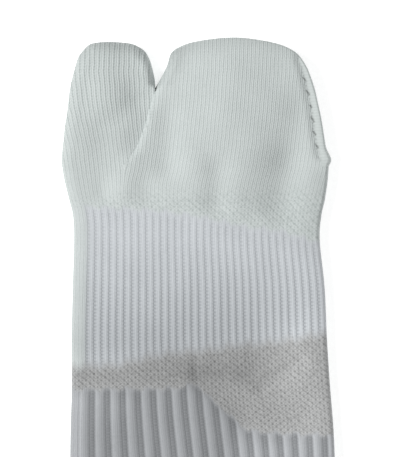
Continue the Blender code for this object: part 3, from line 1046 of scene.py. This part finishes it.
def birds_eye(n, u, v):
    """The net of holes, where every second wale's and course's line up on the slant."""
    net = n.wave(u)
    half_u, half_v = n.math("MULTIPLY", u, 0.5), n.math("MULTIPLY", v, 0.5)
    for p, q, first, second in ((half_u, half_v, 0.9, 0.45), (u, v, 1.0, 0.7)):
        net = n.math("MULTIPLY_ADD", n.wave(n.math("ADD", p, q)), first, net)
        net = n.math("MULTIPLY_ADD", n.wave(n.math("SUBTRACT", p, q)), second, net)
    return n.ramp(0.9, 3.9, net)


def knit(name, yarn, rows=False, strength=0.35, hole=0.36):
    """A knitted cloth. The mesh's zone and look attributes say which stitch is where,
    and how light it is: the look's first part is painted shade and light, with the seam's dark stitch
    holes."""
    material = bpy.data.materials.new(name)
    n = Nodes(material)
    where = n.add("ShaderNodeTexCoord").outputs["Object"]
    fuzz, speckle, blotch, waver = (n.noise(where, *kind) for kind in (FUZZ, SPECKLE, BLOTCH, WAVER))
    # stitches are never quite even
    lines = n.parts(n.add("ShaderNodeUVMap", uv_map="knit").outputs[0])
    u, v = n.stray(waver, 0.4, lines[0]), n.stray(waver, 0.7, lines[1])
    zone = n.add("ShaderNodeAttribute", attribute_name="zone")
    pattern, rib, mesh = n.parts(zone.outputs["Vector"])
    arch = zone.outputs["Alpha"]
    look = n.add("ShaderNodeAttribute", attribute_name="look")
    tone, groove, bold = n.parts(look.outputs["Vector"])

    # the wales hardly show on the ribs, and most on the toes
    plain, plain_shade = stockinette(n, u, v)
    calm = n.math("MULTIPLY_ADD", arch, -0.30, n.math("MULTIPLY_ADD", rib, -0.45, 1.0))
    plain_shade = n.math("MULTIPLY", plain_shade, n.math("MULTIPLY_ADD", bold, 1.3, 0.85))
    plain_shade = n.math("MULTIPLY", plain_shade, calm)
    plain = n.math("MULTIPLY", n.math("MULTIPLY", plain, calm), n.math("MULTIPLY_ADD", bold, 0.8, 0.8))
    net = birds_eye(n, u, v)
    net_shade = n.math("MULTIPLY_ADD", net, n.math("MULTIPLY_ADD", mesh, 0.10, 0.48), 0.07)
    height = n.blend(pattern, plain, n.math("SUBTRACT", 1.0, net))
    shade = n.blend(pattern, n.math("MULTIPLY", plain_shade, hole), net_shade)
    # the rungs at the bottom of each groove
    side = n.math("MULTIPLY_ADD", n.math("FLOOR", u), 0.5, v)
    rung = n.math("MULTIPLY", groove, n.wave(side))
    shade = n.math("MULTIPLY_ADD", rung, 0.85, shade)
    height = n.math("MULTIPLY_ADD", rung, -0.8, height)
    if rows:
        height = n.math("MULTIPLY", n.wave(v), 0.4)
        shade = n.math("MULTIPLY", n.math("SUBTRACT", 1.0, n.wave(v)), 0.3)
    rough = n.math("MULTIPLY_ADD", pattern, 0.75, 0.35)
    shade = n.stray(speckle, rough, n.stray(fuzz, rough, shade))
    shade = n.stray(blotch, 0.25, shade, clamp=True)

    light, dark = ((*colour, 1.0) for colour in YARN[yarn])
    for share, kind in ((rib, "rib"), (mesh, "mesh"), (arch, "arch")):
        light = n.mix(share, light, (*YARN[kind][0], 1.0))
        dark = n.mix(share, dark, (*YARN[kind][1], 1.0))
    # the colour is scaled by the look's first part: painted shade and light, and the seam's stitch
    # holes
    scale = n.add("ShaderNodeVectorMath", operation="SCALE")
    n.put(scale.inputs[0], n.mix(shade, light, dark))
    n.put(scale.inputs["Scale"], tone)
    bump = n.add("ShaderNodeBump")
    bump.inputs["Strength"].default_value = strength
    bump.inputs["Distance"].default_value = BUMP_DEPTH
    n.put(bump.inputs["Height"], n.math("MULTIPLY_ADD", fuzz, FUZZ_HEIGHT, height))
    n.put(n.shader.inputs["Base Color"], scale.outputs[0])
    n.put(n.shader.inputs["Normal"], bump.outputs[0])
    n.put(n.shader.inputs["Roughness"], n.math("MULTIPLY_ADD", fuzz, 0.12, 0.86, clamp=True))
    n.shader.inputs["Specular IOR Level"].default_value = SPECULAR
    n.shader.inputs["Sheen Weight"].default_value = SHEEN
    return material


TOE = knit("toe_knit", "plain")
SOLE = knit("terry_knit", "terry", strength=0.3, hole=0.25)
RIB = knit("rib_knit", "plain")
MESH = knit("mesh_knit", "plain", strength=0.5)
ARCH = knit("wide_rib_knit", "plain", strength=0.4)
LEG = knit("leg_knit", "leg", hole=0.3)
ROLL = knit("selvedge_knit", "selvedge", rows=True, strength=0.25)


# The pieces of cloth ---------------------------------------------------------
RUNG_WIDE = 0.4         # how much the rungs show in the wide ribs' grooves


def boldness(points):
    """The wales stand out most where a pocket's tip is stretched flat."""
    x, s = points[:, 0], -points[:, 1]
    big = 1.0 - smoothstep(-18.0, -12.0, x)
    tip = 1.0 - 0.5 * smoothstep(24.0, 40.0, s)
    return (1.0 - smoothstep(44.0, 56.0, s)) * (0.35 + 0.65 * big) * tip


def upper_zone(piece, flat, region, material, relief=None, dark=None):
    """An upper layer with every stitch zone that falls on it."""
    points = flat.reshape(-1, 2)
    tone = shadow(points)
    if dark is not None:
        tone = tone * dark(points)
    piece.grid(
        flat,
        top_point(points, region, relief),
        knit_lines(points),
        material,
        zone=zones(points),
        tone=tone,
        groove=fine_groove(points) + RUNG_WIDE * wide_groove(points),
        bold=boldness(points),
    )


def under_zone(piece, flat, region, material):
    points = flat.reshape(-1, 2)
    lines = points[:, 0] / WALE, points[:, 1] / COURSE
    piece.grid(flat, bottom_point(points, region), lines, material, under=True)


SEAM_DIP = (1.5, 0.75)  # of the toe-closing seam: reach, depth
# painted shade along the seam's crease:  reach, depth
SEAM_CREASE_SHADE = (0.8, 0.06)
SEAM_STITCH = 4.9       # between the long stitches that show as dark dashes
SEAM_LEAN = 0.50        # how far each leans
SEAM_FIRST = 15.1       # s of one of them
SEAM_DASH = (0.33, 0.70)    # half its width, depth
SEAM_DOTS = 1.22        # between the small holes
SEAM_HOLE = (0.25, 0.32)
SEAM_POINTS = 16        # across the rolled edge


def seam_dip(points):
    """The dip along the toe-closing seam."""
    reach, depth = SEAM_DIP
    away = nearest(points, EDGES["seam"])
    return -depth * bell(away, reach) * (1.0 - smoothstep(42.5, 46.5, -points[:, 1]))


def seam_tone(points):
    """Dark stitch holes along the seam: short leaning dashes with small dots between, and painted
    shade along its crease.
    """
    s = -points[:, 1]
    off = points[:, 0] - np.interp(s, -SEAM_LINE[::-1, 1], SEAM_LINE[::-1, 0])
    turn = (s - SEAM_FIRST) / SEAM_STITCH
    count = np.round(turn)
    near = turn - count
    long = 0.13 + 0.04 * np.sin(2.3 * count)
    width, dash_dark = SEAM_DASH
    dash = bell(off - SEAM_LEAN * near * SEAM_STITCH, width)
    dash = dash * (1.0 - smoothstep(long, long + 0.07, np.abs(near)))
    turn = (s - SEAM_FIRST) / SEAM_DOTS
    count = np.round(turn)
    width, dot_dark = SEAM_HOLE
    dot = bell(off + 0.35 * np.sin(3.1 * count), width)
    dot = dot * (1.0 - smoothstep(0.14, 0.26, np.abs(turn - count)))
    width, crease_shade = SEAM_CREASE_SHADE
    # the crease's share is painted shade; the dashes and dots are stitch holes
    dark = dash_dark * dash + dot_dark * dot * (1.0 - dash) + crease_shade * bell(off, width)
    return 1.0 - dark * smoothstep(9.0, 13.0, s) * (1.0 - smoothstep(40.5, 46.0, s))


def big_toe_cloth():
    cloth = Cloth("big_toe_pocket_cloth")
    flat = pocket_grid(BIG_LEFT, BIG_TIP, BIG_RIGHT, BIG_TOE_WIDTH, STEP, ROW_STEP)
    upper_zone(cloth, flat, "big_toe", TOE)
    under_zone(cloth, flat, "big_toe", SOLE)
    return cloth.build()


def four_toe_cloth():
    """Its upper layer ends at the seam, and its lower one runs out below the rolled edge."""
    cloth = Cloth("four_toe_pocket_cloth")
    flat = pocket_grid(FOUR_LEFT, FOUR_TIP, SEAM_LINE, FOUR_TOE_TOP, STEP, ROW_STEP)
    upper_zone(cloth, flat, "four_toe", TOE, seam_dip, seam_tone)
    flat = pocket_grid(FOUR_LEFT, FOUR_TIP, FOUR_RIGHT, FOUR_TOE_SOLE, SOLE_STEP, SOLE_STEP)
    under_zone(cloth, flat, "four_toe", SOLE)
    return cloth.build()


def rolled_seam():
    cloth = Cloth("rolled_toe_seam")
    v = tip_rows(POCKET_LENGTH, ROW_STEP)
    inner, outer = resample(SEAM_LINE, v), resample(FOUR_RIGHT, v)
    u = np.sin(np.linspace(0.0, math.pi / 2.0, SEAM_POINTS))[None, :, None]
    flat = inner[:, None] + (outer - inner)[:, None] * u
    points = flat.reshape(-1, 2)
    lines = points[:, 0] / COURSE, points[:, 1] / COURSE
    z = top_point(points, "four_toe", seam_dip)
    cloth.grid(flat, z, lines, ROLL, tone=seam_tone(points))
    return cloth.build()


def tube(name, start, end, region, upper, under, relief=None, under_step=SOLE_STEP):
    """A flattened tube between two lines, still open to more grids."""
    cloth = Cloth(name)
    upper_zone(cloth, tube_grid(start, end, STEP, ROW_STEP), region, upper, relief)
    under_zone(cloth, tube_grid(start, end, under_step, SOLE_STEP), region, under)
    return cloth


def arch_cloth():
    cloth = tube("arch_band_cloth", MESH_END_LINE, ANKLE_LINE, "foot", ARCH, SOLE, rib_relief)
    # closes the step up to the raised leg
    rim = tube_grid(ANKLE_LINE - 1.0, ANKLE_LINE, SOLE_STEP, SOLE_STEP)[-1]
    for point in (bottom_point, top_point):
        rise = np.concatenate([point(rim, "foot"), point(rim, "leg")])
        lines = np.tile(rim[:, 0] / WALE, 2), rise / COURSE
        cloth.grid(np.stack([rim, rim]), rise, lines, SOLE, under=True)
    return cloth.build()


def cuff_rims():
    """The turned edge and its lining:  how far in from the outline, how far past the edge."""
    turn = np.linspace(0.0, math.pi, CUFF_TURN)
    rims = [(CUFF_LIP * (1.0 - math.cos(a)), CUFF_LIP * math.sin(a)) for a in turn]
    return rims + [(2.0 * CUFF_LIP, -depth) for depth in np.arange(1.0, CUFF_DEEP, 1.0)]


def cuff_cloth():
    end = LEG_TOP - CUFF_LIP
    cloth = tube("cuff_cloth", WELT_LINE, end, "cuff", LEG, LEG, under_step=STEP)
    left, right = foot_edges(np.array([end]))
    base = plan(left + share_columns(TUBE_WIDTH, STEP) * (right - left), end)
    centre = (left + right) / 2.0
    middle, _, edge = form(base, "cuff")
    rims = cuff_rims()
    for under, point in ((False, top_point), (True, bottom_point)):
        outer = np.abs(point(base, "cuff") - middle)
        flat, z = [], []
        for inset, ahead in rims:
            x = centre + (base[:, 0] - centre) * (1.0 - inset / ((right - left) / 2.0))
            tall = np.maximum(outer - inset * edge, CUFF_THIN * edge)
            flat.append(plan(x, end + ahead))
            z.append(middle + (-tall if under else tall))
        flat = np.array(flat)
        courses = np.repeat(np.arange(len(rims)) * CUFF_ROW, len(base))
        lines = flat[:, :, 0].ravel() / WALE, courses
        cloth.grid(flat, np.concatenate(z), lines, LEG, under=under)
    return cloth.build()


def heel_cloth():
    """The folded pocket: rings that follow its edge in section, closed across its middle."""
    ahead = np.gradient(HEEL_LINE, axis=0)
    ahead /= np.linalg.norm(ahead, axis=1)[:, None]
    inward = np.stack([-ahead[:, 1], ahead[:, 0]], axis=1)
    fade = smoothstep(ANKLE_LINE, ANKLE_LINE + HEEL_FADE, -HEEL_LINE[:, 1])
    rings = [HEEL_LINE + inward * (inset * fade)[:, None] for inset, _ in HEEL_EDGE]
    shares = [share for _, share in HEEL_EDGE]
    narrow = 1.0 - HEEL_EDGE[0][0] / HEEL_ROWS[0][1] * fade
    for width in HEEL_RINGS:
        closing = rings[0].copy()
        closing[:, 0] = HEEL_X + (HEEL_LINE[:, 0] - HEEL_X) * width * narrow
        rings.insert(0, closing)
        rings.append(closing)
        shares = [0.0, *shares, 1.0]
    cloth = Cloth("heel_pocket_cloth")
    rings = np.array(rings)
    heights = np.repeat([HEEL_HEIGHT * share for share in shares], len(HEEL_LINE))
    points = rings.reshape(-1, 2)
    cloth.grid(rings, heights, (points[:, 0] / WALE, points[:, 1] / COURSE), SOLE)
    return cloth.build()


big_toe = big_toe_cloth()
four_toe = four_toe_cloth()
toe_seam = rolled_seam()
forefoot = tube("forefoot_cloth", TOE_BASE, RIB_END_LINE, "foot", RIB, SOLE, rib_relief).build()
instep = tube("instep_mesh_cloth", RIB_END_LINE, MESH_END_LINE, "foot", MESH, SOLE, rib_relief).build()
arch_band = arch_cloth()
leg = tube("leg_cloth", ANKLE_LINE, WELT_LINE, "leg", LEG, LEG, leg_rib).build()
cuff = cuff_cloth()
heel = heel_cloth()

for thing, node, slot_name in (
    (big_toe, "big_toe_pocket", "toe_knit"),
    (four_toe, "four_toe_pocket", "toe_knit"),
    (toe_seam, "toe_seam", "toe_knit"),
    (forefoot, "forefoot", "rib_knit"),
    (instep, "instep_mesh", "mesh_knit"),
    (arch_band, "arch_band", "rib_knit"),
    (heel, "heel_pocket", "toe_knit"),
    (leg, "leg", "leg_knit"),
    (cuff, "cuff", "leg_knit"),
):
    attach(thing, "root")
    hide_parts(node)

# Stage -----------------------------------------------------------------------
FLOOR_SIDE = 3.0        # metres from the middle
FLOOR_Z = -0.0003


def paper():
    """Pale paper that gives off a little light of its own, so that it stays near white."""
    material = bpy.data.materials.new("paper")
    material.use_nodes = True
    sockets = material.node_tree.nodes["Principled BSDF"].inputs
    sockets["Base Color"].default_value = (0.93, 0.93, 0.93, 1.0)
    sockets["Roughness"].default_value = 0.8
    sockets["Emission Color"].default_value = (1.0, 1.0, 1.0, 1.0)
    sockets["Emission Strength"].default_value = 0.45
    return material


corners = [(FLOOR_SIDE * i, FLOOR_SIDE * j, 0.0) for i, j in ((-1, -1), (1, -1), (1, 1), (-1, 1))]
floor_mesh = bpy.data.meshes.new("floor")
floor_mesh.from_pydata(corners, [], [(0, 1, 2, 3)])
floor_mesh.materials.append(paper())
floor = bpy.data.objects.new("floor", floor_mesh)
floor.location.z = FLOOR_Z
bpy.context.scene.collection.objects.link(floor)


def area_light(name, place, target, size, power):
    data = bpy.data.lights.new(name, "AREA")
    data.shape = "DISK"
    data.size = size
    data.energy = power
    lamp = bpy.data.objects.new(name, data)
    lamp.location = place
    aim = Vector(target) - Vector(place)
    lamp.rotation_euler = aim.to_track_quat("-Z", "Y").to_euler()
    bpy.context.scene.collection.objects.link(lamp)


area_light("key", (-0.66, 0.14, 0.60), (0.0, 0.08, 0.0), 0.5, 6.6)
area_light("fill", (0.2, 0.1, 1.2), (0.0, 0.05, 0.0), 0.9, 1.4)

world = bpy.data.worlds.new("studio")
world.use_nodes = True
sky = world.node_tree.nodes["Background"].inputs
sky["Color"].default_value = (1.0, 1.0, 1.0, 1.0)
sky["Strength"].default_value = 0.50
bpy.context.scene.world = world
bpy.context.scene.view_settings.view_transform = "Standard"

VIEW_X, VIEW_S = 3.84, 69.7     # the middle of the picture
VIEW_HIGH = 0.1673              # metres of the surface from its top to its bottom
SURFACE_UP = 0.006              # metres above the floor
CAMERA_UP = 0.80
camera_data = bpy.data.cameras.new("camera")
camera_data.sensor_fit = "VERTICAL"
camera_data.angle = 2.0 * math.atan(VIEW_HIGH / 2.0 / (CAMERA_UP - SURFACE_UP))
camera = bpy.data.objects.new("camera", camera_data)
camera.location = ((VIEW_X - FRAME_X) * MM, (FRAME_S - VIEW_S) * MM, CAMERA_UP)
bpy.context.scene.collection.objects.link(camera)
bpy.context.scene.camera = camera
